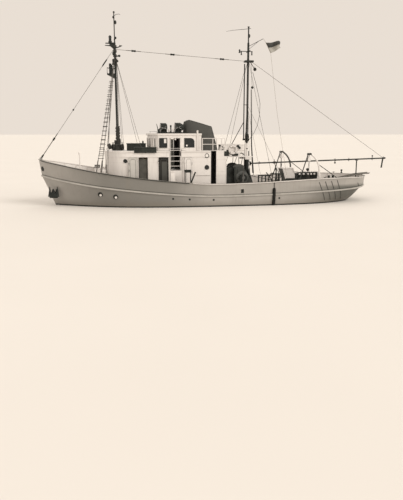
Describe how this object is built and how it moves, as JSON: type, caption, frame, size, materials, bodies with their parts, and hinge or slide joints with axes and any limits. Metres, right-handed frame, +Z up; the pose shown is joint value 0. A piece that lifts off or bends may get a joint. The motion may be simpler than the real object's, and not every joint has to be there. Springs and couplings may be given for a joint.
{
  "type": "fishing trawler",
  "caption": "side trawler with a sheered hull, long deckhouse with raised wheelhouse and raked funnel, fore and main mast, long boom, trawl winch and side gallows, floating at its waterline",
  "frame": {"origin": "on the waterline, on the middle line, at the middle of the hull length", "axes": "+X to the bow, +Y to port, +Z up"},
  "size_m": [21.5612, 5.44, 13.01],
  "materials": {
    "hull_paint": "weathered semi-gloss light grey",
    "white_paint": "weathered off-white",
    "black_paint": "black paint, worn",
    "funnel_grey": "dark grey paint",
    "door_grey": "mid grey paint",
    "bronze": "cast bronze",
    "wire": "tarred wire rope"
  },
  "bodies": {
    "trawler": {"anchor": "black_paint", "boom_crutch": "black_paint", "bulwark_aft_port": "hull_paint", "bulwark_aft_starboard": "hull_paint", "bulwark_fore_port": "hull_paint", "bulwark_fore_starboard": "hull_paint", "companion": "white_paint", "deckhouse": "white_paint", "deckhouse_roof_aft": "white_paint", "deckhouse_roof_fore": "white_paint", "engine_casing": "white_paint", "fish_hatch": "black_paint", "float_box": "black_paint", "fore_shrouds_port": "wire", "fore_shrouds_starboard": "wire", "foremast": "black_paint", "forestay": "wire", "funnel": "funnel_grey", "gallows_port": "black_paint", "gallows_starboard": "black_paint", "house_top_rail_port": "white_paint", "house_top_rail_starboard": "white_paint", "hull": "hull_paint", "landing_rail_port": "white_paint", "landing_rail_starboard": "white_paint", "locker_aft": "black_paint", "locker_fore": "black_paint", "main_shrouds_port": "wire", "main_shrouds_starboard": "wire", "mainmast": "black_paint", "mast_gallery": "white_paint", "net_pound_port": "black_paint", "net_pound_starboard": "black_paint", "rubbing_strake_port": "white_paint", "rubbing_strake_starboard": "white_paint", "searchlight_aft": "black_paint", "searchlight_fore": "black_paint", "triatic_stay": "wire", "wheelhouse": "white_paint", "wheelhouse_roof": "white_paint", "winch_frame": "black_paint", "windlass_frame": "black_paint"},
    "propeller": {"propeller": "bronze"},
    "rudder": {"rudder": "hull_paint"},
    "helm": {"helm": "door_grey"},
    "fore_door_port": {"fore_door_port": "door_grey"},
    "fore_door_starboard": {"fore_door_starboard": "door_grey"},
    "mid_door_port": {"mid_door_port": "door_grey"},
    "mid_door_starboard": {"mid_door_starboard": "door_grey"},
    "aft_door_port": {"aft_door_port": "white_paint"},
    "aft_door_starboard": {"aft_door_starboard": "white_paint"},
    "wheelhouse_door_port": {"wheelhouse_door_port": "door_grey"},
    "wheelhouse_door_starboard": {"wheelhouse_door_starboard": "door_grey"},
    "boom": {"boom": "black_paint", "topping_lift": "wire"},
    "derrick": {"derrick": "black_paint"},
    "winch_drum": {"winch_drum": "black_paint"},
    "windlass_drum": {"windlass_drum": "black_paint"},
    "fish_hatch_lid": {"fish_hatch_lid": "white_paint"}
  },
  "joints": [
    {"name": "propeller_turn", "type": "hinge", "parent": "trawler", "child": "propeller", "pos_m": [-7.62, 0, -1.42], "axis": [1, 0, 0], "continuous": true},
    {"name": "rudder_turn", "type": "hinge", "parent": "trawler", "child": "rudder", "pos_m": [-8.2, 0, -1], "axis": [0, 0, 1], "range_deg": [-35, 35]},
    {"name": "helm_turn", "type": "hinge", "parent": "trawler", "child": "helm", "pos_m": [2.93, 0, 2.96], "axis": [1, 0, 0], "range_deg": [-350, 350]},
    {"name": "fore_door_port_swing", "type": "hinge", "parent": "trawler", "child": "fore_door_port", "pos_m": [4.4, 1.86, 2], "axis": [0, 0, 1], "range_deg": [0, 180]},
    {"name": "fore_door_starboard_swing", "type": "hinge", "parent": "trawler", "child": "fore_door_starboard", "pos_m": [4.4, -1.86, 2], "axis": [0, 0, -1], "range_deg": [0, 180]},
    {"name": "mid_door_port_swing", "type": "hinge", "parent": "trawler", "child": "mid_door_port", "pos_m": [3.25, 1.86, 2], "axis": [0, 0, -1], "range_deg": [0, 165]},
    {"name": "mid_door_starboard_swing", "type": "hinge", "parent": "trawler", "child": "mid_door_starboard", "pos_m": [3.25, -1.86, 2], "axis": [0, 0, 1], "range_deg": [0, 165]},
    {"name": "aft_door_port_swing", "type": "hinge", "parent": "trawler", "child": "aft_door_port", "pos_m": [1.77, 1.86, 2], "axis": [0, 0, -1], "range_deg": [0, 165]},
    {"name": "aft_door_starboard_swing", "type": "hinge", "parent": "trawler", "child": "aft_door_starboard", "pos_m": [1.77, -1.86, 2], "axis": [0, 0, 1], "range_deg": [0, 165]},
    {"name": "wheelhouse_door_port_swing", "type": "hinge", "parent": "trawler", "child": "wheelhouse_door_port", "pos_m": [2.4925, 1.3625, 3], "axis": [0, 0, -1], "range_deg": [0, 90]},
    {"name": "wheelhouse_door_starboard_swing", "type": "hinge", "parent": "trawler", "child": "wheelhouse_door_starboard", "pos_m": [2.4925, -1.3625, 3], "axis": [0, 0, 1], "range_deg": [0, 90]},
    {"name": "boom_slew", "type": "hinge", "parent": "trawler", "child": "boom", "pos_m": [-2.62, 0, 2.3], "axis": [0, 0, 1], "range_deg": [-20, 20]},
    {"name": "derrick_topping", "type": "hinge", "parent": "trawler", "child": "derrick", "pos_m": [-2.17, 0, 3.75], "axis": [0, 1, 0], "range_deg": [0, 55]},
    {"name": "winch_turn", "type": "hinge", "parent": "trawler", "child": "winch_drum", "pos_m": [-1.89, 0, 1.51], "axis": [0, 1, 0], "continuous": true},
    {"name": "windlass_turn", "type": "hinge", "parent": "trawler", "child": "windlass_drum", "pos_m": [7.7, 0, 1.76], "axis": [0, 1, 0], "continuous": true},
    {"name": "hatch_lid_swing", "type": "hinge", "parent": "trawler", "child": "fish_hatch_lid", "pos_m": [-3.93, -0.56, 1.08], "axis": [1, 0, 0], "range_deg": [0, 95]}
  ],
  "couplings": [
    {"joint": "rudder_turn", "follows": "helm_turn", "ratio": 0.1}
  ]
}
